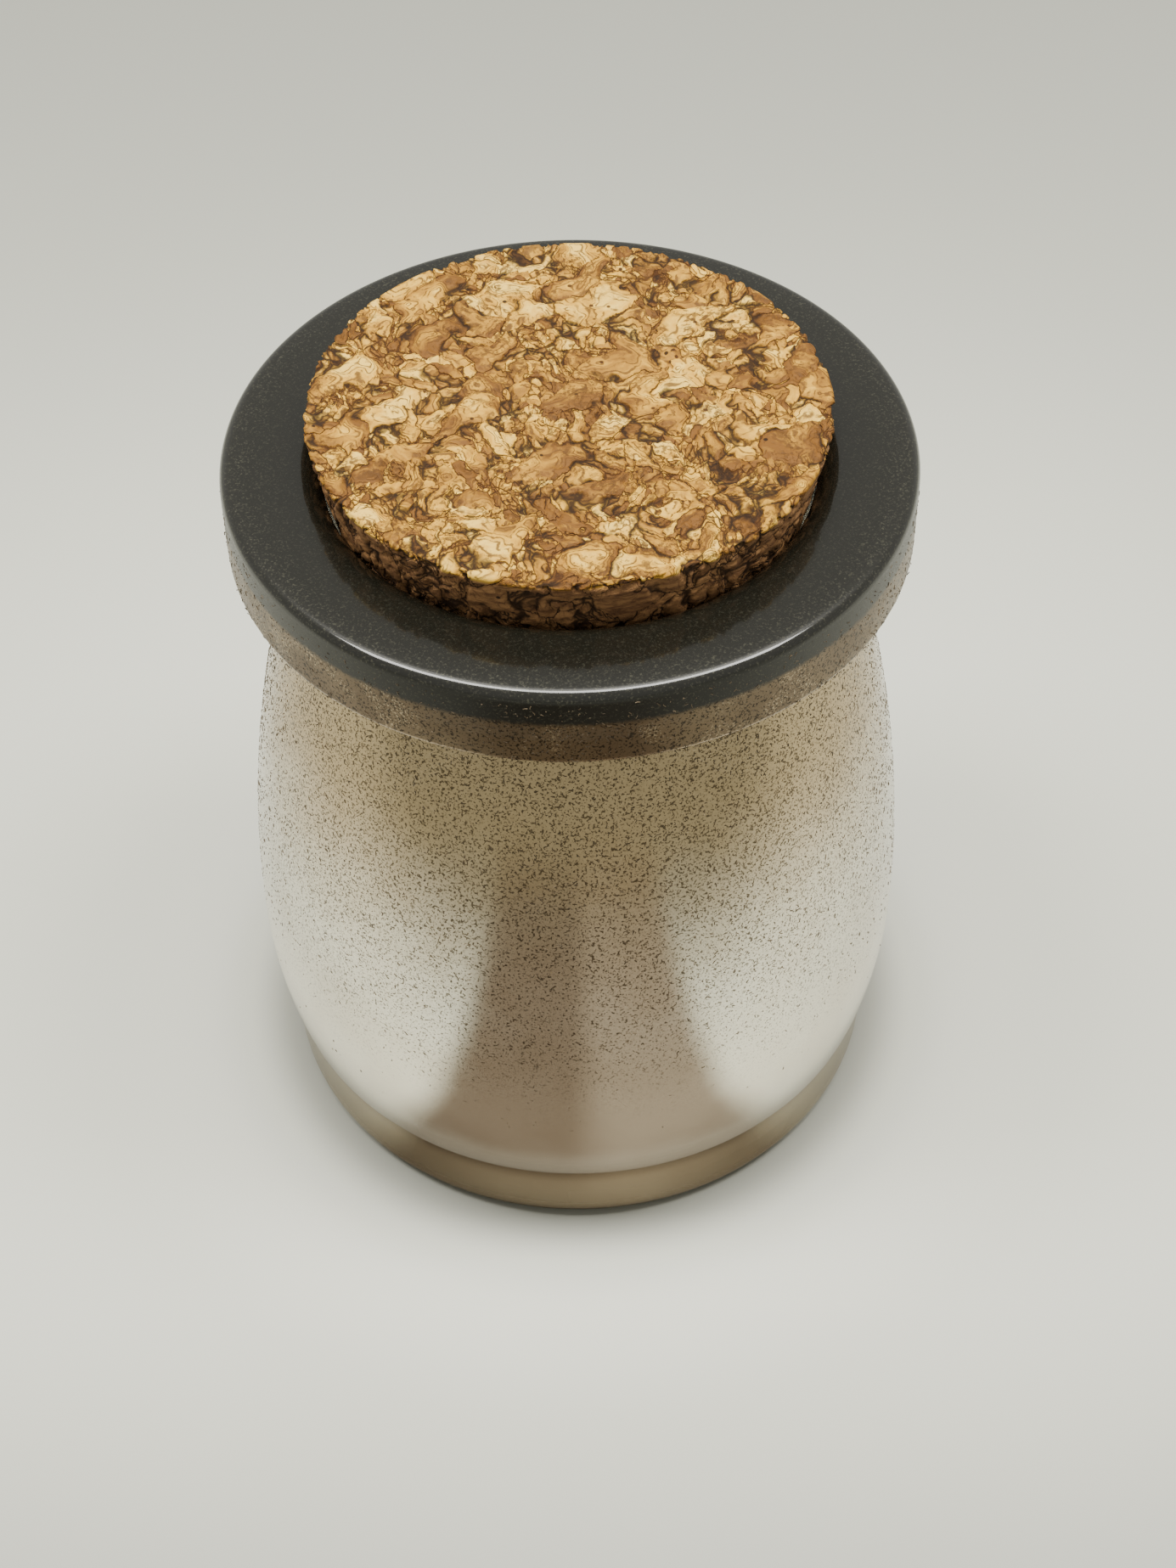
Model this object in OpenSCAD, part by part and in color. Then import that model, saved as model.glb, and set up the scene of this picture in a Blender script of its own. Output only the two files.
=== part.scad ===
// Stoppered glass canister: a one-piece pressed glass jar with a wide flat
// collar, closed by a tapered agglomerated cork.
// The origin is the centre of the foot on the table, +Z is up the jar's axis.

/* [Body] */
// Height of the glass jar, from the table to the collar's flat top
jar_h = 86.4; // [70:0.2:104]
// Largest diameter of the body
belly_d = 73; // [60:0.5:90]
// Height of the largest diameter above the table
belly_h = 23; // [18:0.5:28]
// Thickness of the body's glass wall
wall = 2.6; // [2:0.1:3.4]

/* [Foot] */
// How far the moulded shoulder above the foot is set in from the belly
shoulder_in = 1.6; // [1:0.1:3]
// Height of that shoulder above the table
shoulder_h = 10; // [8:0.2:12]
// How far the foot is set in under the shoulder
foot_inset = 0.7; // [0.4:0.1:1.2]
// Radius of the rounded shoulder edge
shoulder_round = 0.5; // [0.2:0.1:0.8]
// Radius of the foot's outer bottom edge
heel_r = 2.4; // [1.5:0.1:3.5]
// Width of the ring that the jar stands on
stand_w = 2.2; // [1.5:0.1:4]
// Height of the hollow under the middle of the base
push_up = 1.6; // [1:0.1:3]
// Thickness of the glass base at its middle
base_t = 6; // [4.5:0.1:8]
// Rise of the inside floor at its middle
floor_crown = 0.8; // [0.4:0.1:1.5]
// Radius of the inside corner between the wall and the floor
corner_r = 5; // [3:0.1:7]

/* [Collar] */
// Diameter of the mouth's straight bore
mouth_d = 49.6; // [42:0.2:60]
// Width of the collar from the mouth's bore to its outer side
collar_w = 10.2; // [8:0.1:13]
// Thickness of the collar
collar_h = 9.1; // [6:0.1:12]
// Radius of the collar's top outer edge
collar_edge_r = 1.2; // [0.6:0.1:2]
// Radius of the collar's bottom outer edge
collar_under_r = 0.7; // [0.3:0.1:1.2]
// Radius of the rounded inner lip
lip_r = 2.4; // [1.2:0.1:3]
// Thickness of the glass neck under the collar
neck_wall = 2.6; // [2:0.1:3.4]
// Radius of the fillet between the neck and the collar
neck_fillet = 1.5; // [0.8:0.1:2.5]
// Radius of the inside edge where the bore opens into the body
bore_round = 6; // [3:0.5:10]

/* [Cork] */
// Height of the cork
cork_h = 18; // [14:0.5:24]
// How far the cork's top stands above the collar
cork_stand = 5.7; // [3:0.1:9]
// How much wider the cork's top is than the mouth, on each side
cork_flare = 1.65; // [1:0.05:3]
// Clearance between the cork and the lip it wedges in
cork_gap = 0.15; // [0.05:0.05:0.3]
// Radius of the cork's worn edges
cork_edge_r = 0.5; // [0.2:0.1:1]

/* [Hidden] */
$fn = 180;

// Points of an arc about (cx, cz) from angle a0 to a1, in n equal steps
function arc(cx, cz, r, a0, a1, n) =
    [for (i = [0 : n]) let (a = a0 + (a1 - a0) * i / n) [cx + r * cos(a), cz + r * sin(a)]];
// Radius of the arc whose half-chord is h and whose rise is s
function arc_radius(h, s) = (h * h + s * s) / (2 * s);

// Outer radii at the driving places
mouth_r = mouth_d / 2;
belly_r = belly_d / 2;
shoulder_r = belly_r - shoulder_in;
neck_r = mouth_r + neck_wall;
collar_r = mouth_r + collar_w;
foot_r = shoulder_r - foot_inset;
stand_r = foot_r - heel_r;
hollow_r = stand_r - stand_w;
collar_z = jar_h - collar_h;

// The body's side is one long arc from the belly up to the neck
side_r = arc_radius(collar_z - belly_h, belly_r - neck_r);
side_cx = belly_r - side_r;
// A fillet tangent to that arc runs out under the collar
fillet_z = collar_z - neck_fillet;
fillet_x = side_cx + sqrt(pow(side_r + neck_fillet, 2) - pow(fillet_z - belly_h, 2));
side_top = atan2(fillet_z - belly_h, fillet_x - side_cx);
// A shorter arc takes it in from the belly to the shoulder
heel_side_r = arc_radius(belly_h - shoulder_h, belly_r - shoulder_r);
heel_cx = belly_r - heel_side_r;
heel_low = -asin((belly_h - shoulder_h - shoulder_round) / heel_side_r);

// The inside follows the outside at the wall's thickness
bore_x = mouth_r + bore_round;
bore_z = belly_h + sqrt(pow(side_r - wall + bore_round, 2) - pow(bore_x - side_cx, 2));
inner_top = atan2(bore_z - belly_h, bore_x - side_cx);
floor_z = push_up + base_t;
corner_z = floor_z - floor_crown + corner_r;
corner_orbit = heel_side_r - wall - corner_r;
corner_x = heel_cx + sqrt(pow(corner_orbit, 2) - pow(belly_h - corner_z, 2));
corner_out = atan2(corner_z - belly_h, corner_x - heel_cx);

// Shallow domes of the inside floor and of the hollow under the base
crown_r = arc_radius(corner_x, floor_crown);
hollow_dome_r = arc_radius(hollow_r, push_up);

// The cork's side clears the lip's round edge by cork_gap all round
cork_top_z = jar_h + cork_stand;
cork_base_z = cork_top_z - cork_h;
cork_top_r = mouth_r + cork_flare;
lip_cx = mouth_r + lip_r;
lip_cz = jar_h - lip_r;
lip_dist = norm([lip_cx - cork_top_r, cork_top_z - lip_cz]);
taper = asin((lip_r + cork_gap) / lip_dist) - atan2(lip_cx - cork_top_r, cork_top_z - lip_cz);
cork_base_r = cork_top_r - cork_h * tan(taper);

// The jar's wall in section, from the middle of the floor, up the inside,
// over the collar and down the outside to the foot
module jar_section() {
    floor_half = asin(corner_x / crown_r);
    hollow_half = asin(hollow_r / hollow_dome_r);
    polygon(concat(
        [[0, floor_z]],
        arc(0, floor_z - crown_r, crown_r, 90 - floor_half / 12, 90 - floor_half * 11 / 12, 10),
        arc(corner_x, corner_z, corner_r, -90, corner_out, 12),
        arc(heel_cx, belly_h, heel_side_r - wall, corner_out, 0, 8),
        arc(side_cx, belly_h, side_r - wall, 0, inner_top, 24),
        arc(bore_x, bore_z, bore_round, 180 + inner_top, 180, 5),
        arc(lip_cx, lip_cz, lip_r, 180, 90, 12),
        arc(collar_r - collar_edge_r, jar_h - collar_edge_r, collar_edge_r, 90, 0, 8),
        arc(collar_r - collar_under_r, collar_z + collar_under_r, collar_under_r, 0, -90, 6),
        arc(fillet_x, fillet_z, neck_fillet, 90, 180 + side_top, 8),
        arc(side_cx, belly_h, side_r, side_top, 0, 26),
        arc(heel_cx, belly_h, heel_side_r, 0, heel_low, 9),
        arc(shoulder_r - shoulder_round, shoulder_h, shoulder_round, heel_low, -90, 5),
        [[foot_r, shoulder_h - shoulder_round]],
        arc(stand_r, heel_r, heel_r, 0, -90, 8),
        arc(0, push_up - hollow_dome_r, hollow_dome_r, 90 - hollow_half, 90, 12)));
}

module glass_jar() {
    color([0.45, 0.43, 0.38, 0.6])
        rotate_extrude()
            jar_section();
}

// A short cone with softened edges
module cork_stopper() {
    lean = cork_edge_r * tan(taper);
    color([0.74, 0.59, 0.38])
        rotate_extrude()
            polygon([
                [0, cork_base_z],
                [cork_base_r - cork_edge_r, cork_base_z],
                [cork_base_r + lean, cork_base_z + cork_edge_r],
                [cork_top_r - lean, cork_top_z - cork_edge_r],
                [cork_top_r - cork_edge_r, cork_top_z],
                [0, cork_top_z]]);
}

glass_jar();
cork_stopper();
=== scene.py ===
"""Looks of a stoppered glass canister: a coated glass jar, its agglomerated cork, and a pale studio."""

import math

import bmesh
import bpy
from mathutils import Matrix, Vector


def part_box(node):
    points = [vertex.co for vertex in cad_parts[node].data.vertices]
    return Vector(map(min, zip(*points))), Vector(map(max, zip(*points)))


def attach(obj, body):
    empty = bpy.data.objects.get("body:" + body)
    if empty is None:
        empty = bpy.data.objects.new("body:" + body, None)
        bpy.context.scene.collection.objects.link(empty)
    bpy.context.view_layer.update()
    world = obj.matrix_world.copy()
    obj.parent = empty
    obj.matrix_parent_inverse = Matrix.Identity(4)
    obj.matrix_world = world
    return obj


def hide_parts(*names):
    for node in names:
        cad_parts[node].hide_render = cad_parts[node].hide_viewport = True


bl_info = {
    "name": "Stoppered Glass Canister",
    "version": (1, 0, 0),
    "blender": (4, 5, 0),
    "location": "3D View > Sidebar > Canister",
    "description": "Builds a coated glass canister with a cork stopper, and a pale studio around it",
    "category": "Object",
}

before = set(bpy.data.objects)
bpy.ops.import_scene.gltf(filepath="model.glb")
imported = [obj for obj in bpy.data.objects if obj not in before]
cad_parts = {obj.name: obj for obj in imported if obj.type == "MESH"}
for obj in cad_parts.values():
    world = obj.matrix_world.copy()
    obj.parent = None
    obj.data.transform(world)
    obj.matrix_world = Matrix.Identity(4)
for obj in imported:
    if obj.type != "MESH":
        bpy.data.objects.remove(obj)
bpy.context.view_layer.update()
MM = 0.001
JAR_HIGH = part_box("glass_jar")[1]
CORK_LOW, CORK_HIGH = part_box("cork_stopper")

# Depths below the collar's top, in mm: where the coat stops being whole and the flecks start, and
# where the coat ends
COAT_WHOLE = 3.4
COAT_END = 4.2
# The jar's section gets a point this close to each end of its straight stretches
SECTION_BRACE = 0.25 * MM
# Points of the revolved jar that lie closer than this are one point
MERGE_DISTANCE = 0.002 * MM
# The flecks stay this far inside the jar's largest radius
FLECK_MARGIN = 0.002 * MM
# Seeds: of the first fleck layer, which the others count up from, and of the flecks' sizes and spins
FLECK_SEED = 3
SIZE_SEED = 4
SPIN_SEED = 7
# The arcs that the flecks are cut from: each sweep in degrees, and its length as a share of the longest
FLECK_KINDS = ((40, 1.0), (150, 0.8), (260, 0.6), (90, 0.35))
# The cork's three layers of chips: size in mm, share that shows, and the axis they are drawn out along
CHIP_LAYERS = ((4.0, 0.36, (0.8, 0.6, 0)), (2.2, 0.58, (0.6, -0.8, 0)), (1.2, 1.0, (0, 1, 0)))
# The cork's surface is sunk by this much less, and nowhere raised, so most of it keeps its full size
CORK_PROUD = 0.1 * MM

# The stage, in metres: half the floor's width, the dark sheet that lies on it in front of the jar, a
# painted shadow that only reflections see, and the softbox overhead
FLOOR_REACH = 3.0
SHADOW_SHEET_CORNERS = ((-0.1, -0.225), (0.1, -0.225), (0.1, -0.01), (-0.1, -0.01))
SHADOW_SHEET_HEIGHT = 0.3 * MM
LAMP_WIDTH = 1.3
LAMP_DEPTH = 0.24
LAMP_PLACE = (0, -0.04, 0.9)
LAMP_COLOUR = (1.0, 0.98, 0.94)
# The camera's sensor, in mm, and how near it sees, in metres
SENSOR_HEIGHT = 36
CLIP_START = 0.01


# ---------------------------------------------------------------- sizes and colours


def length(words, value):
    """A length property, in metres."""
    return bpy.props.FloatProperty(
        name=words, description=words, default=value, unit="LENGTH", precision=5
    )


def colour(words, value):
    """A colour property, linear."""
    return bpy.props.FloatVectorProperty(
        name=words, description=words, default=value, subtype="COLOR", size=3, min=0, max=1
    )


class CanisterJarSettings(bpy.types.PropertyGroup):
    """The jar's section and its coat."""

    belly_h: length("Height of the widest place", 23 * MM)
    wall: length("Thickness of the body's wall", 2.6 * MM)
    shoulder_in: length("How far the shoulder is set in from the belly", 1.6 * MM)
    shoulder_h: length("Height of the shoulder above the foot", 10 * MM)
    shoulder_round: length("Radius of the shoulder's edge", 0.5 * MM)
    foot_inset: length("How far the foot is set in under the shoulder", 0.7 * MM)
    heel_r: length("Radius of the foot's bottom edge", 2.4 * MM)
    stand_w: length("Width of the standing ring", 2.2 * MM)
    push_up: length("Height of the hollow under the base", 1.6 * MM)
    base_t: length("Thickness of the base at its middle", 6 * MM)
    floor_crown: length("Rise of the inside floor at its middle", 0.8 * MM)
    corner_r: length("Radius of the inside corner at the floor", 5 * MM)
    mouth_r: length("Radius of the mouth's bore", 24.8 * MM)
    collar_w: length("Width of the collar", 10.2 * MM)
    collar_h: length("Thickness of the collar", 9.1 * MM)
    collar_edge_r: length("Radius of the collar's top edge", 1.2 * MM)
    collar_under_r: length("Radius of the collar's bottom edge", 0.7 * MM)
    lip_r: length("Radius of the inner lip", 2.4 * MM)
    neck_wall: length("Thickness of the neck", 2.6 * MM)
    neck_fillet: length("Radius of the fillet under the collar", 1.5 * MM)
    bore_round: length("Radius where the bore opens into the body", 6 * MM)
    segments: bpy.props.IntProperty(
        name="Segments", description="Number of steps round the jar",
        default=208, min=32, max=512,
    )
    coat: colour("Colour of the opaque coat", (0.0098, 0.0095, 0.0062))
    # Also the colour of the painted shade in a line under the foot's shoulder
    collar_smoke_and_shade: colour("Colour of the silvering on the collar's side", (0.14, 0.10, 0.062))
    smoke: colour("Colour of the silvering near the collar", (0.48, 0.37, 0.22))
    silver: colour("Colour of the silvering on the body", (0.90, 0.856, 0.73))
    amber: colour("Colour of the silvering on the foot", (0.60, 0.50, 0.33))
    # A painted highlight: the golden front of the foot
    gold: colour("Colour of the silvering on the front of the foot", (1.0, 0.89, 0.64))
    smoke_top: length("Height above which the silvering is brown", 64 * MM)
    smoke_low: length("Height below which the silvering is pale", 36 * MM)
    film: bpy.props.FloatProperty(
        name="Silvering", description="How much the silvering covers on the body",
        default=0.86, min=0, max=1,
    )
    foot_film: bpy.props.FloatProperty(
        name="Foot silvering", description="How much the silvering covers on the foot",
        default=0.6, min=0, max=1,
    )
    glass: colour("Colour of the clear glass", (0.985, 0.99, 0.975))
    slump: bpy.props.FloatProperty(
        name="Slump", description="How much the coat rounds off towards the collar's edge",
        default=30, min=0,
    )
    # A painted highlight along the collar's lowest edge
    hem_highlight: colour("Colour of the collar's lowest edge", (0.55, 0.45, 0.38))
    # Painted glints on the collar's side
    painted_glint: colour("Colour of the light squiggles on the collar's side", (0.75, 0.62, 0.42))
    fleck: colour("Colour of the flecks", (0.082, 0.060, 0.035))
    fleck_density: bpy.props.FloatProperty(
        name="Fleck density", description="Flecks on a square metre at the neck",
        default=3.5e6, min=0,
    )
    fleck_layers: bpy.props.IntProperty(
        name="Fleck layers", description="Number of pieces that the flecks are shared between",
        default=3, min=1, max=8,
    )
    fleck_length: length("Length of a fleck", 0.36 * MM)
    fleck_width: length("Width of a fleck", 0.09 * MM)
    fade_top: length("Height where the flecks start to thin out", 66 * MM)
    fade_low: length("Height where the last flecks end", 11 * MM)


class CanisterCorkSettings(bpy.types.PropertyGroup):
    """The cork's chips and colours."""

    edge_r: length("Radius of the cork's worn edges", 0.5 * MM)
    base_r: length("Radius of the cork's bottom", 22.3 * MM)
    crevice: length("Depth of the crevices between chips", 0.4 * MM)
    pale: colour("Palest chips", (0.84, 0.54, 0.10))
    gold: colour("Golden chips", (0.65, 0.35, 0.034))
    mid: colour("Middle chips", (0.40, 0.19, 0.016))
    brown: colour("Brownest chips", (0.17, 0.068, 0.007))
    outline: colour("Thin seams between chips", (0.055, 0.020, 0.004))
    gap: colour("Open crevices and bark", (0.018, 0.008, 0.003))
    # The side's streak colours: partly the cork's own tone, partly painted shade
    bark: colour("Light streaks of the cork's side", (0.46, 0.24, 0.095))
    bark_dark: colour("Dark streaks of the cork's side", (0.15, 0.068, 0.026))


class CanisterStageSettings(bpy.types.PropertyGroup):
    """The camera, the floor and the light."""

    floor: colour("Colour of the floor", (0.66, 0.67, 0.58))
    floor_near: colour("Colour of the light ring on the floor round the foot", (0.9, 0.9, 0.8))
    # The dark sheet in front of the jar that only reflections see, a painted shadow: its two sides
    reflected_shadow_dark: colour("Colour of the dark side of the flag", (0.10, 0.075, 0.05))
    reflected_shadow_light: colour("Colour of the light side of the flag", (0.19, 0.158, 0.118))
    sky: colour("Colour of the soft light all round", (1.0, 0.99, 0.93))
    sky_strength: bpy.props.FloatProperty(
        name="Sky strength", description="Strength of the soft light all round",
        default=0.5, min=0,
    )
    lamp_power: bpy.props.FloatProperty(
        name="Lamp power", description="Power of the overhead softbox",
        default=22, min=0, unit="POWER",
    )
    distance: length("Distance of the camera in front of the axis", 208.1 * MM)
    height: length("Height of the camera above the collar's edge", 178.8 * MM)
    sideways: length("Offset of the camera to the right", 1.35 * MM)
    pitch: bpy.props.FloatProperty(
        name="Pitch", description="Angle that the camera looks down",
        default=math.radians(47.57), subtype="ANGLE",
    )
    roll: bpy.props.FloatProperty(
        name="Roll", description="Roll of the camera",
        default=math.radians(-0.84), subtype="ANGLE",
    )
    lens: bpy.props.FloatProperty(
        name="Lens", description="Focal length for a sensor 36 mm high",
        default=62.4, min=10,
    )


# ---------------------------------------------------------------- writing node trees


class Wire:
    """A socket in a node tree, so that maths on it can be written as an expression."""

    def __init__(self, tree, socket):
        self.tree = tree
        self.socket = socket

    def node(self, kind, settings=None, values=None, out=0):
        """Adds a node of a kind: its settings are made first, then its sockets get values or links."""
        made = self.tree.nodes.new(kind)
        for name, value in (settings or {}).items():
            if name == "stops":
                ramp = made.color_ramp.elements
                while len(ramp) < len(value):
                    ramp.new(1)
                for element, (place, rgb) in zip(ramp, value):
                    element.position = place
                    element.color = (*rgb, 1)
            else:
                setattr(made, name, value)
        for key, value in (values or {}).items():
            if isinstance(value, Wire):
                self.tree.links.new(value.socket, made.inputs[key])
            else:
                made.inputs[key].default_value = value
        return Wire(self.tree, made.outputs[out]) if made.outputs else Wire(self.tree, None)

    def side(self, out):
        """Another output of the same node."""
        return Wire(self.tree, self.socket.node.outputs[out])

    def maths(self, operation, *values):
        """Maths on this value, with the others that the operation needs."""
        return self.node("ShaderNodeMath", {"operation": operation}, dict(enumerate((self, *values))))

    def __add__(self, other):
        return self.maths("ADD", other)

    def __mul__(self, other):
        return self.maths("MULTIPLY", other)

    def __sub__(self, other):
        return self.maths("SUBTRACT", other)

    def __rsub__(self, other):
        return self.maths("MULTIPLY_ADD", -1.0, other)

    def __truediv__(self, other):
        return self.maths("DIVIDE", other)

    def __pow__(self, other):
        return self.maths("POWER", other)

    def rise(self, low, high, start=0.0, end=1.0):
        """A smooth step from start to end as the value goes from low to high."""
        return self.node(
            "ShaderNodeMapRange",
            {"interpolation_type": "SMOOTHSTEP"},
            {0: self, 1: low, 2: high, 3: start, 4: end},
        )

    def move(self, operation, other, out=0):
        """Vector maths with another vector."""
        return self.node("ShaderNodeVectorMath", {"operation": operation}, {0: self, 1: other}, out)

    def times(self, number):
        """The vector scaled by a number or a wire."""
        return self.node("ShaderNodeVectorMath", {"operation": "SCALE"}, {0: self, "Scale": number})

    def blend(self, first, second):
        """The colour between two colours, at this factor."""
        return self.node("ShaderNodeMix", {"data_type": "RGBA"}, {0: self, 6: first, 7: second}, 2)

    def drawn_out(self, axis, by):
        """The point stretched along an axis, or squeezed along it by a negative share."""
        along = self.move("DOT_PRODUCT", axis, 1)
        pull = self.node("ShaderNodeVectorMath", {"operation": "SCALE"}, {0: axis, "Scale": along * by})
        return self.move("ADD", pull)

    def parts(self):
        """The X, Y and Z of a vector."""
        split = self.node("ShaderNodeSeparateXYZ", {}, {0: self})
        return split, split.side(1), split.side(2)

    def noise(self, size, detail=2.0, rough=0.5, out=0):
        """Noise whose features are about this size, on this point."""
        values = {"Vector": self, "Scale": 1 / size, "Detail": detail, "Roughness": rough}
        return self.node("ShaderNodeTexNoise", {}, values, out)

    def cells(self, size, feature="F1", out="Distance"):
        """Cells about this size, on this point."""
        values = {"Vector": self, "Scale": 1 / size, "Randomness": 1.0}
        return self.node("ShaderNodeTexVoronoi", {"feature": feature}, values, out)


def rgba(rgb, share=1):
    """A colour, made darker or lighter by a share, with an alpha of 1."""
    return (*(min(c * share, 1) for c in rgb), 1.0)


def from_axis(x, y):
    """The distance of a point from the Z axis."""
    return (x * x + y * y).maths("SQRT")


def from_top(depth):
    """The height this many mm below the collar's top."""
    return JAR_HIGH.z - depth * MM


def from_side(inset):
    """The radius this many mm inside the jar's largest radius."""
    return JAR_HIGH.x - inset * MM


def new_material(name):
    """An empty node material, and a wire to write it with."""
    material = bpy.data.materials.new(name)
    material.use_nodes = True
    material.node_tree.nodes.clear()
    return material, Wire(material.node_tree, None)


def object_point(pen):
    """The object's own coordinates, in metres."""
    return pen.node("ShaderNodeTexCoord", {}, {}, "Object")


def finish_material(pen, shader):
    """Ends a material in its output."""
    pen.node("ShaderNodeOutputMaterial", {}, {"Surface": shader})


# ---------------------------------------------------------------- materials


def coat_cover(point, z):
    """How opaque the grey coat is: whole on the collar's top, and gone a little way down its side."""
    ragged = (point.noise(1.2 * MM, 3) - 0.5) * (0.5 * MM)
    return (z + ragged).rise(from_top(COAT_END), from_top(COAT_WHOLE))


def foot_silvering_and_painted_light(y, z, jar):
    """The foot's silvering: amber, with a painted highlight that makes it golden in front, and painted
    shade in a line under the shoulder.
    """
    # Painted shade in a line under the shoulder, in the collar's dark silvering colour
    under = z.rise(jar.shoulder_h - 3.2 * MM, jar.shoulder_h - 0.8 * MM, 0.0, 0.55)
    # Painted highlight: the front of the foot turns golden
    foot = y.rise(-36 * MM, -28 * MM, 1.0, 0.0).blend(rgba(jar.amber), rgba(jar.gold))
    return under.blend(foot, rgba(jar.collar_smoke_and_shade))


def silvering(pen, point, jar):
    """The thin metal film: brown at the collar, pale on the body, with dots and grit that thin out."""
    y, z = point.parts()[1:]
    wavy = z + (point.noise(6 * MM, 3, 0.6) - 0.5) * (9 * MM)
    brown = wavy.rise(jar.smoke_low, jar.smoke_top)
    thick = wavy.rise(jar.fade_low, jar.fade_top)
    hair = point.move("ADD", point.noise(0.5 * MM, 1, 0.5, out=1).times(0.5 * MM)).cells(0.42 * MM)
    dots = (point.noise(0.28 * MM, 2, 0.6) - thick * 0.06).rise(0.34, 0.40, 1.0, 0.0)
    dots = dots * thick.rise(0.0, 0.4)
    dots = dots.maths("MAXIMUM", hair.rise(0.11, 0.18, 1.0, 0.0) * thick.rise(0.02, 0.3))
    tint = brown.blend(rgba(jar.silver), rgba(jar.smoke))
    grit = point.noise(0.3 * MM, 3, 0.7).rise(0.42, 0.6, 0.0, 0.16) * thick.rise(0.1, 0.5)
    tint = grit.blend(tint, rgba(jar.smoke, 0.35))
    # The collar's side is darker, with a painted highlight as a lighter band along its lowest edge
    collar = z.rise(from_top(9), from_top(8.3))
    tint = collar.blend(tint, rgba(jar.collar_smoke_and_shade))
    hem_highlight = z.rise(from_top(9.1), from_top(8.95)) * z.rise(from_top(8.8), from_top(8.5), 1.0, 0.0)
    tint = (hem_highlight * 0.8).blend(tint, rgba(jar.hem_highlight))
    on_foot = 1 - z.rise(jar.shoulder_h - 0.8 * MM, jar.shoulder_h - 0.4 * MM)
    tint = on_foot.blend(tint, foot_silvering_and_painted_light(y, z, jar))
    tint = (point.noise(9 * MM, 2).rise(0.35, 0.7) * 0.16).blend(tint, rgba(jar.smoke))
    tint = (dots * 0.9).blend(tint, collar.blend(rgba(jar.fleck), rgba(jar.fleck, 0.3)))
    # Painted glints: light squiggles in patches on the collar's side
    painted_glint = point.noise(0.24 * MM, 2, 0.6).rise(0.55, 0.62) * point.noise(5 * MM, 1).rise(0.52, 0.64)
    tint = (painted_glint * collar * 0.35).blend(tint, rgba(jar.painted_glint))
    rough = point.noise(3 * MM, 2).rise(0.3, 0.7, 0.13, 0.2) + collar * 0.22
    return pen.node(
        "ShaderNodeBsdfPrincipled", {}, {"Base Color": tint, "Metallic": 1.0, "Roughness": rough}
    )


def coat_shader(pen, point, radius, z, jar):
    """The grey gloss coat: finely sparkling, and rounded off towards the collar's edge."""
    grain = point.noise(0.26 * MM, 3, 0.8)
    sparkle = grain.rise(0.56, 0.64) * radius.rise(from_side(7), from_side(2), 0.25, 0.75)
    beyond = (radius - from_side(4.6)).maths("MAXIMUM", 0.0)
    slump = grain * (0.006 * MM) - beyond**2.0 * jar.slump
    bump = pen.node("ShaderNodeBump", {}, {"Strength": 1.0, "Distance": 1.0, "Height": slump})
    rough = radius.rise(from_side(5), from_side(2.2)) * 0.08 + grain.rise(0.3, 0.7, 0.2, 0.34)
    return pen.node(
        "ShaderNodeBsdfPrincipled",
        {},
        {
            "Base Color": sparkle.blend(rgba(jar.coat), rgba(jar.coat, 7)),
            "Metallic": 0.3,
            "Roughness": rough,
            "Specular IOR Level": 0.36,
            "Coat Weight": z.rise(from_top(1.4), from_top(0.5), 0.0, 1.0),
            "Coat Roughness": 0.09,
            "Normal": bump,
        },
    )


def glass_material(jar):
    """Clear glass, thinly silvered outside, under a grey coat that is opaque on the collar's top."""
    material, pen = new_material("coated_glass")
    point = object_point(pen)
    x, y, z = point.parts()
    outside = pen.node("ShaderNodeAttribute", {"attribute_name": "outside"}, {}, "Fac")
    clear = pen.node(
        "ShaderNodeBsdfPrincipled",
        {},
        {"Base Color": rgba(jar.glass), "Roughness": 0.0, "IOR": 1.5, "Transmission Weight": 1.0},
    )
    film = z.rise(jar.shoulder_h - 1.0 * MM, jar.shoulder_h - 0.3 * MM, jar.foot_film, jar.film)
    film = film + z.rise(jar.smoke_low, jar.smoke_top) * (0.96 - jar.film)
    silvered = pen.node(
        "ShaderNodeMixShader", {}, {0: film * outside, 1: clear, 2: silvering(pen, point, jar)}
    )
    coat = coat_shader(pen, point, from_axis(x, y), z, jar)
    cover = coat_cover(point, z) * outside
    finish_material(pen, pen.node("ShaderNodeMixShader", {}, {0: cover, 1: silvered, 2: coat}))
    return material


def fleck_material(jar):
    """Dried specks of the coat."""
    material, pen = new_material("coat_flecks")
    point = object_point(pen)
    shade = point.noise(2 * MM, 2).rise(0.35, 0.65).blend(rgba(jar.fleck), rgba(jar.fleck, 2.2))
    values = {"Base Color": shade, "Metallic": 0.3, "Roughness": 0.45}
    finish_material(pen, pen.node("ShaderNodeBsdfPrincipled", {}, values))
    return material


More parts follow.
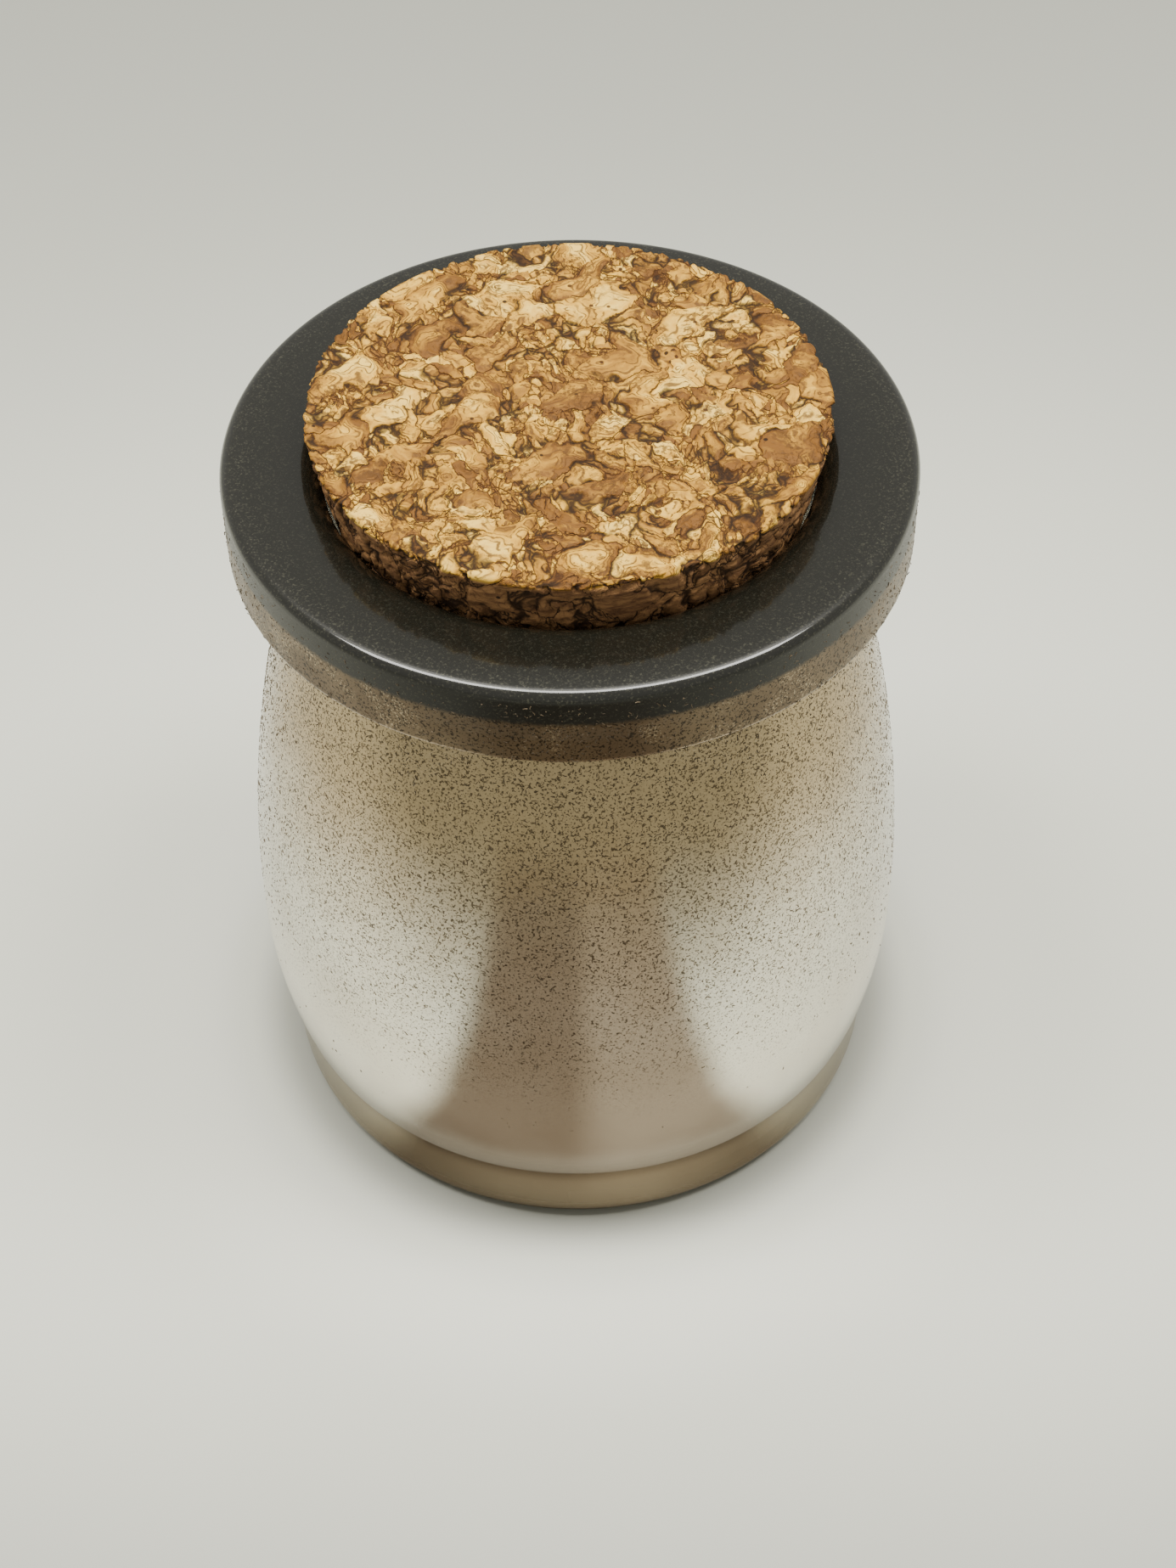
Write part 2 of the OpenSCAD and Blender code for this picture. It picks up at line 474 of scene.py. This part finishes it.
def chip_pattern(pen, point):
    """The cork's chips at a point: large ones, with middling ones and crumbs packed between them."""
    sway = point.noise(6 * MM, 2, 0.5, out=1).move("SUBTRACT", (0.5, 0.5, 0.5)).times(7 * MM)
    fray = point.noise(1.0 * MM, 3, 0.6, out=1).move("SUBTRACT", (0.5, 0.5, 0.5)).times(0.7 * MM)
    warped = point.move("ADD", sway).move("ADD", fray)
    layers = []
    for size, share, axis in CHIP_LAYERS:
        drawn = warped.drawn_out(axis, -0.42)
        pick = drawn.cells(size * MM, out="Color")
        edge = drawn.cells(size * MM, "DISTANCE_TO_EDGE") * (size * MM)
        layers.append((pick, edge, share))
    pick, edge, share = layers[-1]
    for big_pick, big_edge, big_share in reversed(layers[:-1]):
        shown = big_pick.parts()[1].maths("LESS_THAN", big_share)
        pick = pen.node("ShaderNodeMix", {"data_type": "VECTOR"}, {0: shown, 4: pick, 5: big_pick}, 1)
        edge = shown * big_edge + (1 - shown) * edge.maths("MINIMUM", big_edge)
    return warped, pick, edge


def crevice_width(point):
    """How wide the crevices are: they gape in some places and close up in others."""
    return point.noise(3.0 * MM, 2).rise(0.46, 0.66, 0.075 * MM, 0.44 * MM)


def cork_material(cork):
    """Agglomerated cork: chips with growth lines, pores and dark crevices, painted shade towards each
    chip's edge, and a streaked side whose dark brown is partly its own tone and partly painted shade.
    """
    material, pen = new_material("cork")
    point = object_point(pen)
    x, y, z = point.parts()
    warped, pick, edge = chip_pattern(pen, point)
    red = pick.parts()[0]
    own = warped.move("ADD", pick.times(0.2))
    grown = own.noise(2.8 * MM, 1.0, 0.4)
    tone = red * 0.76 + (grown - 0.5) * 1.55 + (warped.noise(0.9 * MM, 3, 0.6) - 0.5) * 0.8 + 0.13
    # Painted shade: each chip darkens towards its edge
    tone = tone - (1 - edge.rise(0.0, 0.9 * MM)) * 0.2
    base = pen.node(
        "ShaderNodeValToRGB",
        {"stops": [(0.0, cork.brown), (0.32, cork.mid), (0.62, cork.gold), (0.95, cork.pale)]},
        {0: tone},
    )
    rings = (grown * (2 * math.pi * 10)).maths("SINE")
    lines = rings.rise(0.25, 0.95) * warped.noise(1.2 * MM, 2).rise(0.34, 0.54)
    lined = (lines * 0.85).blend(base, rgba(cork.brown, 0.65))
    crumbs = point.noise(0.6 * MM, 3, 0.7).rise(0.5, 0.6) * point.noise(4.5 * MM, 2).rise(0.42, 0.58)
    lined = (crumbs * 0.75).blend(lined, rgba(cork.brown, 0.5))
    width = crevice_width(point)
    gap = 1 - edge.rise(0.0, width)
    pores = point.cells(1.7 * MM).rise(0.1, 0.17, 1.0, 0.0) * point.noise(4 * MM, 1).rise(0.5, 0.58)
    outline = width.rise(0.12 * MM, 0.3 * MM).blend(rgba(cork.outline), rgba(cork.gap))
    dark = gap.maths("MAXIMUM", pores)
    top = (dark * 0.95).blend(lined, outline)
    # The side is darker: partly its own streaked tone, partly painted shade on a side that faces down
    on_side = 1 - z.rise(CORK_HIGH.z - 1.0 * MM, CORK_HIGH.z - 0.6 * MM)
    on_side = on_side * from_axis(x, y).rise(20 * MM, 22 * MM)
    streak = point.move("MULTIPLY", (1.0, 1.0, 3.2)).noise(2.2 * MM, 4, 0.65).rise(0.35, 0.65)
    side_tone_and_shade = (streak * 0.7 + red * 0.3).blend(rgba(cork.bark_dark), rgba(cork.bark))
    side_tone_and_shade = (dark * 0.9).blend((lines * 0.5).blend(side_tone_and_shade, rgba(cork.bark_dark)), rgba(cork.gap))
    shade = on_side.blend(top, side_tone_and_shade)
    height = lines * -0.4 + gap * -1.0 + crumbs * -0.4 + point.noise(0.35 * MM, 3, 0.7) * 0.5
    bump = pen.node("ShaderNodeBump", {}, {"Strength": 0.8, "Distance": 0.14 * MM, "Height": height})
    finish_material(
        pen,
        pen.node(
            "ShaderNodeBsdfPrincipled",
            {},
            {"Base Color": shade, "Roughness": dark.rise(0, 1, 0.72, 0.95), "IOR": 1.4, "Normal": bump},
        ),
    )
    return material


def painted_light_floor_material(stage):
    """A matt pale sheet with painted light: a painted contact shadow under the foot's edge, painted
    shade far away, behind and in front, and painted light close round the foot.
    """
    material, pen = new_material("floor_sheet")
    point = object_point(pen)
    x, y = point.parts()[:2]
    reach = from_axis(x, y)
    # Painted shade far from the jar and behind it, and a painted shadow in front of it; the wide noise
    # is the sheet's own faint unevenness
    painted_falloff_and_unevenness = reach.rise(55 * MM, 190 * MM) * 0.85 + point.noise(60 * MM, 3) * 0.15
    shade = painted_falloff_and_unevenness.blend(rgba(stage.floor), rgba(stage.floor, 0.72))
    shade = (y.rise(50 * MM, 260 * MM) * 0.9).blend(shade, rgba(stage.floor, 0.5))
    shade = y.rise(-125 * MM, -30 * MM, 1.0, 0.0).blend(shade, rgba(stage.floor, 0.4))
    # Painted light close round the foot, and a painted contact shadow where the foot meets the floor
    near = reach.rise(40 * MM, 46 * MM, 0.0, 0.25) * reach.rise(46 * MM, 62 * MM, 1.0, 0.0)
    shade = near.blend(shade, rgba(stage.floor_near))
    shade = reach.rise(35 * MM, 41 * MM, 0.7, 0.0).blend(shade, rgba(stage.floor, 0.35))
    finish_material(
        pen, pen.node("ShaderNodeBsdfPrincipled", {}, {"Base Color": shade, "Roughness": 0.6})
    )
    return material


def reflected_shadow_material(stage):
    """A painted shadow seen only in reflections: a dark sheet, darker on its left, and thinning out
    towards its edges.
    """
    material, pen = new_material("reflected_shadow_sheet")
    point = object_point(pen)
    x, y = point.parts()[:2]
    reach = from_axis(x, y)
    across = x.maths("ABSOLUTE") / (reach * 0.3 + 15 * MM)
    cover = reach.rise(35 * MM, 42 * MM, 0.75, 1.0) * reach.rise(85 * MM, 220 * MM, 1.0, 0.0)
    cover = cover * across.rise(0.84, 1.12, 1.0, 0.0)
    shade = x.rise(-4 * MM, 8 * MM).blend(rgba(stage.reflected_shadow_dark), rgba(stage.reflected_shadow_light))
    values = {"Base Color": shade, "Roughness": 0.8, "Alpha": cover}
    finish_material(pen, pen.node("ShaderNodeBsdfPrincipled", {}, values))
    return material


# ---------------------------------------------------------------- the jar's section


def arc(cx, cz, r, start, end, steps):
    """Points of an arc about (cx, cz), from one angle to another in degrees."""
    turn = [math.radians(start + (end - start) * i / steps) for i in range(steps + 1)]
    return [(cx + r * math.cos(a), cz + r * math.sin(a)) for a in turn]


def arc_radius(half_chord, rise):
    """The radius of an arc with this half-chord and rise."""
    return (half_chord**2 + rise**2) / (2 * rise)


def braced(points, brace):
    """The outline with a point close to each end of its straight stretches, which keeps them flat."""
    out = []
    for a, b in zip(points, points[1:]):
        out.append(a)
        run = Vector((b[0] - a[0], b[1] - a[1]))
        if run.length > 3 * brace:
            step = run.normalized() * brace
            out += [(a[0] + step.x, a[1] + step.y), (b[0] - step.x, b[1] - step.y)]
    return out + [points[-1]]


def jar_section(jar):
    """The wall in section as (radius, height, outside), from the middle of the floor to the base."""
    top = JAR_HIGH.z
    belly = JAR_HIGH.x
    shoulder = belly - jar.shoulder_in
    neck = jar.mouth_r + jar.neck_wall
    collar = jar.mouth_r + jar.collar_w
    foot = shoulder - jar.foot_inset
    stand = foot - jar.heel_r
    hollow = stand - jar.stand_w
    under = top - jar.collar_h
    side = arc_radius(under - jar.belly_h, belly - neck)
    side_x = belly - side
    fillet_z = under - jar.neck_fillet
    fillet_x = side_x + math.sqrt((side + jar.neck_fillet) ** 2 - (fillet_z - jar.belly_h) ** 2)
    side_top = math.degrees(math.atan2(fillet_z - jar.belly_h, fillet_x - side_x))
    heel = arc_radius(jar.belly_h - jar.shoulder_h, belly - shoulder)
    heel_x = belly - heel
    heel_low = -math.degrees(math.asin((jar.belly_h - jar.shoulder_h - jar.shoulder_round) / heel))
    bore_x = jar.mouth_r + jar.bore_round
    bore_z = jar.belly_h + math.sqrt((side - jar.wall + jar.bore_round) ** 2 - (bore_x - side_x) ** 2)
    inner_top = math.degrees(math.atan2(bore_z - jar.belly_h, bore_x - side_x))
    floor_z = jar.push_up + jar.base_t
    corner_z = floor_z - jar.floor_crown + jar.corner_r
    corner_x = heel_x + math.sqrt((heel - jar.wall - jar.corner_r) ** 2 - (jar.belly_h - corner_z) ** 2)
    corner_out = math.degrees(math.atan2(corner_z - jar.belly_h, corner_x - heel_x))
    crown = arc_radius(corner_x, jar.floor_crown)
    half = math.degrees(math.asin(corner_x / crown))
    dome = arc_radius(hollow, jar.push_up)
    hollow_half = math.degrees(math.asin(hollow / dome))
    edge, low = jar.collar_edge_r, jar.collar_under_r
    bump = jar.shoulder_round
    inside = arc(0, floor_z - crown, crown, 90, 90 - half, 14)
    inside += arc(corner_x, corner_z, jar.corner_r, -88, corner_out, 16)
    inside += arc(heel_x, jar.belly_h, heel - jar.wall, corner_out, 0, 12)[1:]
    inside += arc(side_x, jar.belly_h, side - jar.wall, 0, inner_top, 30)[1:]
    inside += arc(bore_x, bore_z, jar.bore_round, 180 + inner_top, 180, 7)[1:]
    outside = arc(jar.mouth_r + jar.lip_r, top - jar.lip_r, jar.lip_r, 180, 90, 14)
    outside += arc(collar - edge, top - edge, edge, 90, 0, 12)
    outside += arc(collar - low, under + low, low, 0, -90, 8)
    outside += arc(fillet_x, fillet_z, jar.neck_fillet, 90, 180 + side_top, 10)
    outside += arc(side_x, jar.belly_h, side, side_top, 0, 34)[1:]
    outside += arc(heel_x, jar.belly_h, heel, 0, heel_low, 14)[1:]
    outside += arc(shoulder - bump, jar.shoulder_h, bump, heel_low, -90, 7)
    outside += [(foot, jar.shoulder_h - bump)]
    outside += arc(stand, jar.heel_r, jar.heel_r, 0, -90, 10)
    base = arc(0, jar.push_up - dome, dome, 90 - hollow_half, 90, 14)
    inside, outside, base = (braced(p, SECTION_BRACE) for p in (inside, outside, base))
    return [(*p, 0.0) for p in inside] + [(*p, 1.0) for p in outside] + [(*p, 0.0) for p in base]


# ---------------------------------------------------------------- Geometry Nodes


def new_tree(name, inputs):
    """A Geometry Nodes tree with named inputs, and a wire to write it with."""
    tree = bpy.data.node_groups.new(name, "GeometryNodeTree")
    tree.interface.new_socket("Geometry", in_out="INPUT", socket_type="NodeSocketGeometry")
    for label, kind in inputs:
        tree.interface.new_socket(label, in_out="INPUT", socket_type=kind)
    tree.interface.new_socket("Geometry", in_out="OUTPUT", socket_type="NodeSocketGeometry")
    pen = Wire(tree, None)
    source = pen.node("NodeGroupInput")
    labels = ["Geometry"] + [label for label, kind in inputs]
    return tree, pen, {label: source.side(label) for label in labels}


def close_tree(pen, geometry, material):
    """Ends a tree in Realize Instances and Set Material."""
    real = pen.node("GeometryNodeRealizeInstances", {}, {"Geometry": geometry})
    painted = pen.node("GeometryNodeSetMaterial", {}, {"Geometry": real, "Material": material})
    pen.node("NodeGroupOutput", {}, {"Geometry": painted})


def run_tree(obj, tree, values, name):
    """Runs a tree on an object and returns its result as a plain mesh object."""
    modifier = obj.modifiers.new(tree.name, "NODES")
    modifier.node_group = tree
    for item in tree.interface.items_tree:
        if item.in_out == "INPUT" and item.name in values:
            modifier[item.identifier] = values[item.name]
    graph = bpy.context.evaluated_depsgraph_get()
    mesh = bpy.data.meshes.new_from_object(obj.evaluated_get(graph), depsgraph=graph)
    mesh.name = name
    bpy.data.objects.remove(obj)
    made = bpy.data.objects.new(name, mesh)
    bpy.context.scene.collection.objects.link(made)
    return made


def revolve_tree():
    """Turns a section, given as loose points, about the Z axis into a closed smooth shell."""
    tree, pen, put = new_tree(
        "Revolve section", [("Segments", "NodeSocketInt"), ("Material", "NodeSocketMaterial")]
    )
    section, segments = put["Geometry"], put["Segments"]
    count = pen.node("GeometryNodeAttributeDomainSize", {"component": "MESH"}, {"Geometry": section})
    grid = pen.node("GeometryNodeMeshGrid", {}, {"Vertices X": segments + 1, "Vertices Y": count})
    index = pen.node("GeometryNodeInputIndex")
    step = (index / count + 0.0001).maths("FLOOR")
    along = index - step * count
    place = pen.node(
        "GeometryNodeSampleIndex",
        {"data_type": "FLOAT_VECTOR"},
        {"Geometry": section, "Value": pen.node("GeometryNodeInputPosition"), "Index": along},
    )
    flag = pen.node("GeometryNodeInputNamedAttribute", {"data_type": "FLOAT"}, {"Name": "outside"})
    outside = pen.node(
        "GeometryNodeSampleIndex",
        {"data_type": "FLOAT"},
        {"Geometry": section, "Value": flag, "Index": along},
    )
    radius, _, height = place.parts()
    turn = step / segments * (2 * math.pi)
    spot = pen.node(
        "ShaderNodeCombineXYZ",
        {},
        {0: radius * turn.maths("COSINE"), 1: radius * turn.maths("SINE"), 2: height},
    )
    shaped = pen.node("GeometryNodeSetPosition", {}, {"Geometry": grid, "Position": spot})
    marked = pen.node(
        "GeometryNodeStoreNamedAttribute",
        {"data_type": "FLOAT", "domain": "POINT"},
        {"Geometry": shaped, "Name": "outside", "Value": outside},
    )
    merged = pen.node(
        "GeometryNodeMergeByDistance", {}, {"Geometry": marked, "Distance": MERGE_DISTANCE}
    )
    flipped = pen.node("GeometryNodeFlipFaces", {}, {"Mesh": merged})
    smooth = pen.node("GeometryNodeSetShadeSmooth", {}, {"Geometry": flipped, "Shade Smooth": True})
    close_tree(pen, smooth, put["Material"])
    return tree


def fleck_tree():
    """Scatters short curled flecks over the jar's outside, thinner downwards and held inside a reach."""
    tree, pen, put = new_tree(
        "Scatter flecks",
        [
            ("Density", "NodeSocketFloat"),
            ("Length", "NodeSocketFloat"),
            ("Width", "NodeSocketFloat"),
            ("Fade Top", "NodeSocketFloat"),
            ("Fade Low", "NodeSocketFloat"),
            ("Collar Low", "NodeSocketFloat"),
            ("Reach", "NodeSocketFloat"),
            ("Seed", "NodeSocketInt"),
            ("Material", "NodeSocketMaterial"),
        ],
    )
    place = pen.node("GeometryNodeInputPosition")
    height = place.parts()[2]
    outside = pen.node("GeometryNodeInputNamedAttribute", {"data_type": "FLOAT"}, {"Name": "outside"})
    fade = height.node(
        "ShaderNodeMapRange",
        {"interpolation_type": "SMOOTHERSTEP"},
        {0: height, 1: put["Fade Low"], 2: put["Fade Top"]},
    )
    patchy = place.noise(9 * MM, 2).rise(0.3, 0.7, 0.55, 1.3)
    below = height.maths("LESS_THAN", put["Collar Low"])
    density = put["Density"] * fade**1.1 * patchy * outside * below
    spread = pen.node(
        "GeometryNodeDistributePointsOnFaces",
        {"distribute_method": "RANDOM"},
        {"Mesh": put["Geometry"], "Density": density, "Seed": put["Seed"]},
    )
    profile = pen.node(
        "GeometryNodeCurvePrimitiveCircle",
        {"mode": "RADIUS"},
        {"Resolution": 3, "Radius": put["Width"] * 0.5},
    )
    kinds = None
    for sweep, share in FLECK_KINDS:
        bend = math.radians(sweep)
        curl = pen.node(
            "GeometryNodeCurveArc",
            {"mode": "RADIUS"},
            {"Resolution": 3, "Radius": put["Length"] * (share / bend), "Sweep Angle": bend},
        )
        tube = pen.node(
            "GeometryNodeCurveToMesh", {}, {"Curve": curl, "Profile Curve": profile, "Fill Caps": True}
        )
        one = pen.node("GeometryNodeGeometryToInstance")
        pen.tree.links.new(tube.socket, one.socket.node.inputs[0])
        if kinds is None:
            kinds = pen.node("GeometryNodeJoinGeometry")
        pen.tree.links.new(one.socket, kinds.socket.node.inputs[0])
    size = pen.node(
        "FunctionNodeRandomValue", {"data_type": "FLOAT"}, {2: 0.45, 3: 1.35, "Seed": SIZE_SEED}, 1
    )
    spin = pen.node(
        "FunctionNodeRandomValue", {"data_type": "FLOAT"}, {2: 0.0, 3: 2 * math.pi, "Seed": SPIN_SEED}, 1
    )
    turned = pen.node(
        "FunctionNodeRotateRotation",
        {"rotation_space": "LOCAL"},
        {0: spread.side("Rotation"), 1: pen.node("ShaderNodeCombineXYZ", {}, {2: spin})},
    )
    put_on = pen.node(
        "GeometryNodeInstanceOnPoints",
        {},
        {"Points": spread, "Instance": kinds, "Pick Instance": True, "Rotation": turned, "Scale": size},
    )
    real = pen.node("GeometryNodeRealizeInstances", {}, {"Geometry": put_on})
    x, y, z = place.parts()
    inward = (put["Reach"] / from_axis(x, y)).maths("MINIMUM", 1.0)
    spot = pen.node("ShaderNodeCombineXYZ", {}, {0: x * inward, 1: y * inward, 2: z})
    kept = pen.node("GeometryNodeSetPosition", {}, {"Geometry": real, "Position": spot})
    close_tree(pen, kept, put["Material"])
    return tree


def dent_tree():
    """Sinks the crevices between the cork's chips, and sets each chip a little higher or lower."""
    tree, pen, put = new_tree(
        "Sink crevices",
        [("Depth", "NodeSocketFloat"), ("Proud", "NodeSocketFloat"), ("Material", "NodeSocketMaterial")],
    )
    place = pen.node("GeometryNodeInputPosition")
    pick, edge = chip_pattern(pen, place)[1:]
    width = crevice_width(place) + 0.12 * MM
    gap = 1 - edge.rise(0.0, width)
    lift = pick.parts()[2]
    rough = place.noise(1.1 * MM, 3)
    offset = (gap * -1.0 - lift * 0.35 - rough * 0.3) * put["Depth"] + put["Proud"]
    normal = pen.node("GeometryNodeInputNormal")
    moved = pen.node(
        "GeometryNodeSetPosition",
        {},
        {"Geometry": put["Geometry"], "Offset": normal.times(offset.maths("MINIMUM", 0.0))},
    )
    smooth = pen.node("GeometryNodeSetShadeSmooth", {}, {"Geometry": moved, "Shade Smooth": True})
    close_tree(pen, smooth, put["Material"])
    return tree


# ---------------------------------------------------------------- pieces


def mesh_object(name, points, faces):
    """A mesh object of points and faces, in the scene."""
    mesh = bpy.data.meshes.new(name)
    mesh.from_pydata(points, [], faces)
    mesh.update()
    made = bpy.data.objects.new(name, mesh)
    bpy.context.scene.collection.objects.link(made)
    return made


def stitch(low, low_count, high, high_count):
    """Triangles between two rings of points that start at the same angle; a ring of 1 is a pole."""
    faces = []
    i = j = 0
    low_steps, high_steps = (0 if n == 1 else n for n in (low_count, high_count))
    while i < low_steps or j < high_steps:
        go_low = j >= high_steps or (i < low_steps and (i + 1) * high_steps <= (j + 1) * low_steps)
        a, b = low + i % low_count, high + j % high_count
        if go_low:
            faces.append((a, b, low + (i + 1) % low_count))
            i += 1
        else:
            faces.append((a, b, high + (j + 1) % high_count))
            j += 1
    return faces


def cork_blank(cork):
    """The cork's plain shape, as rings of evenly spaced points, fine enough to carry its chips."""
    top_r, top_z, base_z = CORK_HIGH.x, CORK_HIGH.z, CORK_LOW.z
    edge = cork.edge_r
    lean = edge * (top_r - cork.base_r) / (top_z - base_z)
    # Each ring has a few points more than the one inside it, and the side's rows spread out downwards
    top_rings, per_ring, side_rows, row_power = 110, 6, 42, 1.35
    around = top_rings * per_ring
    base_rings = top_rings // 2
    rings = [((top_r - edge) * k / top_rings, top_z, max(per_ring * k, 1)) for k in range(top_rings)]
    rings += [(top_r - edge, top_z, around), (top_r - lean - edge * 0.25, top_z - edge * 0.3, around)]
    side_top = (top_r - lean, top_z - edge)
    side_low = (cork.base_r + lean, base_z + edge)
    for i in range(side_rows + 1):
        t = (i / side_rows) ** row_power
        r = side_top[0] + (side_low[0] - side_top[0]) * t
        rings.append((r, side_top[1] + (side_low[1] - side_top[1]) * t, around))
    base_edge = cork.base_r - edge
    rings.append((base_edge, base_z, around // 2))
    for k in range(base_rings - 1, -1, -1):
        rings.append((base_edge * k / base_rings, base_z, max(per_ring * k, 1)))
    points, faces, last = [], [], None
    for r, z, n in rings:
        start = len(points)
        turns = [2 * math.pi * k / n for k in range(n)]
        points += [(r * math.cos(turn), r * math.sin(turn), z) for turn in turns]
        if last is not None:
            faces += stitch(last[0], last[1], start, n)
        last = (start, n)
    return mesh_object("cork_blank", points, faces)


def outward(obj):
    """Raises an error unless the object's faces point outwards and it is closed."""
    shape = bmesh.new()
    shape.from_mesh(obj.data)
    volume = shape.calc_volume(signed=True)
    open_edges = sum(1 for e in shape.edges if len(e.link_faces) != 2)
    shape.free()
    print(f"{obj.name}: {len(obj.data.polygons)} faces, {volume * 1e9:.0f} mm3, {open_edges} open edges")
    if volume <= 0 or open_edges:
        raise RuntimeError(f"{obj.name} is inside out or has {open_edges} open edges")


class CANISTER_OT_jar(bpy.types.Operator):
    """Spins the coated glass jar from its section"""

    bl_idname = "canister.jar"
    bl_label = "Glass jar"

    def execute(self, context):
        jar = context.scene.canister_jar
        section = jar_section(jar)
        blank = mesh_object("jar_section", [(r, 0, z) for r, z, flag in section], [])
        flags = blank.data.attributes.new("outside", "FLOAT", "POINT")
        flags.data.foreach_set("value", [flag for r, z, flag in section])
        values = {"Segments": jar.segments, "Material": glass_material(jar)}
        glass = run_tree(blank, revolve_tree(), values, "jar_glass")
        outward(glass)
        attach(glass, "jar")
        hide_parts("glass_jar")
        return {"FINISHED"}


class CANISTER_OT_flecks(bpy.types.Operator):
    """Scatters the coat's flecks over the jar, shared between a few pieces"""

    bl_idname = "canister.flecks"
    bl_label = "Coat flecks"

    def execute(self, context):
        jar = context.scene.canister_jar
        tree = fleck_tree()
        values = {
            "Density": jar.fleck_density / jar.fleck_layers,
            "Length": jar.fleck_length,
            "Width": jar.fleck_width,
            "Fade Top": jar.fade_top,
            "Fade Low": jar.fade_low,
            "Collar Low": from_top(COAT_WHOLE),
            "Reach": JAR_HIGH.x - FLECK_MARGIN,
            "Material": fleck_material(jar),
        }
        for layer in range(jar.fleck_layers):
            base = bpy.data.objects["jar_glass"].copy()
            base.parent = None
            context.scene.collection.objects.link(base)
            seeded = {**values, "Seed": FLECK_SEED + layer}
            flecks = run_tree(base, tree, seeded, f"coat_flecks_{layer + 1}")
            outward(flecks)
            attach(flecks, "jar")
        return {"FINISHED"}


class CANISTER_OT_cork(bpy.types.Operator):
    """Shapes the agglomerated cork stopper"""

    bl_idname = "canister.cork"
    bl_label = "Cork stopper"

    def execute(self, context):
        cork = context.scene.canister_cork
        values = {"Depth": cork.crevice, "Proud": CORK_PROUD, "Material": cork_material(cork)}
        stopper = run_tree(cork_blank(cork), dent_tree(), values, "cork_chips")
        outward(stopper)
        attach(stopper, "stopper")
        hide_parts("cork_stopper")
        return {"FINISHED"}


class CANISTER_OT_stage(bpy.types.Operator):
    """Sets up the camera, the pale floor and the soft light"""

    bl_idname = "canister.stage"
    bl_label = "Studio"

    def execute(self, context):
        stage = context.scene.canister_stage
        scene = context.scene
        square = ((-1, -1), (1, -1), (1, 1), (-1, 1))
        corners = [(x * FLOOR_REACH, y * FLOOR_REACH, 0) for x, y in square]
        floor = mesh_object("floor", corners, [(0, 1, 2, 3)])
        floor.data.materials.append(painted_light_floor_material(stage))
        # A dark sheet in front of the jar, seen only in reflections: a painted shadow
        flag = mesh_object("flag", [(x, y, SHADOW_SHEET_HEIGHT) for x, y in SHADOW_SHEET_CORNERS], [(0, 1, 2, 3)])
        flag.data.materials.append(reflected_shadow_material(stage))
        for use in ("visible_camera", "visible_diffuse", "visible_shadow", "visible_transmission"):
            setattr(flag, use, False)
        world = bpy.data.worlds.new("studio")
        world.use_nodes = True
        world.node_tree.nodes.clear()
        pen = Wire(world.node_tree, None)
        sky = pen.node(
            "ShaderNodeBackground", {}, {"Color": rgba(stage.sky), "Strength": stage.sky_strength}
        )
        pen.node("ShaderNodeOutputWorld", {}, {"Surface": sky})
        scene.world = world
        lamp = bpy.data.lights.new("softbox", "AREA")
        lamp.shape = "RECTANGLE"
        lamp.size = LAMP_WIDTH
        lamp.size_y = LAMP_DEPTH
        lamp.energy = stage.lamp_power
        lamp.color = LAMP_COLOUR
        box = bpy.data.objects.new("softbox", lamp)
        box.location = LAMP_PLACE
        scene.collection.objects.link(box)
        lens = bpy.data.cameras.new("camera")
        lens.sensor_fit = "VERTICAL"
        lens.sensor_height = SENSOR_HEIGHT
        lens.lens = stage.lens
        lens.clip_start = CLIP_START
        camera = bpy.data.objects.new("camera", lens)
        collar_edge = JAR_HIGH.z - context.scene.canister_jar.collar_edge_r
        spot = Vector((stage.sideways, -stage.distance, collar_edge + stage.height))
        turn = Matrix.Rotation(math.pi / 2 - stage.pitch, 4, "X") @ Matrix.Rotation(stage.roll, 4, "Z")
        camera.matrix_world = Matrix.Translation(spot) @ turn
        scene.collection.objects.link(camera)
        scene.camera = camera
        return {"FINISHED"}


class CANISTER_PT_panel(bpy.types.Panel):
    """Lists the canister's pieces"""

    bl_label = "Glass canister"
    bl_idname = "CANISTER_PT_panel"
    bl_space_type = "VIEW_3D"
    bl_region_type = "UI"
    bl_category = "Canister"

    def draw(self, context):
        for operator in OPERATORS:
            self.layout.operator(operator.bl_idname)
        for group in SETTINGS:
            settings = getattr(context.scene, group)
            box = self.layout.box()
            for name in settings.__annotations__:
                box.prop(settings, name)


OPERATORS = (CANISTER_OT_stage, CANISTER_OT_jar, CANISTER_OT_flecks, CANISTER_OT_cork)
SETTINGS = {
    "canister_jar": CanisterJarSettings,
    "canister_cork": CanisterCorkSettings,
    "canister_stage": CanisterStageSettings,
}


def register():
    """Adds the settings, the operators and the panel to Blender."""
    for item in (*SETTINGS.values(), *OPERATORS, CANISTER_PT_panel):
        bpy.utils.register_class(item)
    for name, group in SETTINGS.items():
        setattr(bpy.types.Scene, name, bpy.props.PointerProperty(type=group))


def unregister():
    """Takes them away again."""
    for name in SETTINGS:
        delattr(bpy.types.Scene, name)
    for item in (CANISTER_PT_panel, *reversed(OPERATORS), *reversed(SETTINGS.values())):
        bpy.utils.unregister_class(item)


def main():
    """Builds the studio and every piece."""
    register()
    bpy.ops.canister.stage()
    bpy.ops.canister.jar()
    bpy.ops.canister.flecks()
    bpy.ops.canister.cork()


if __name__ == "__main__":
    main()
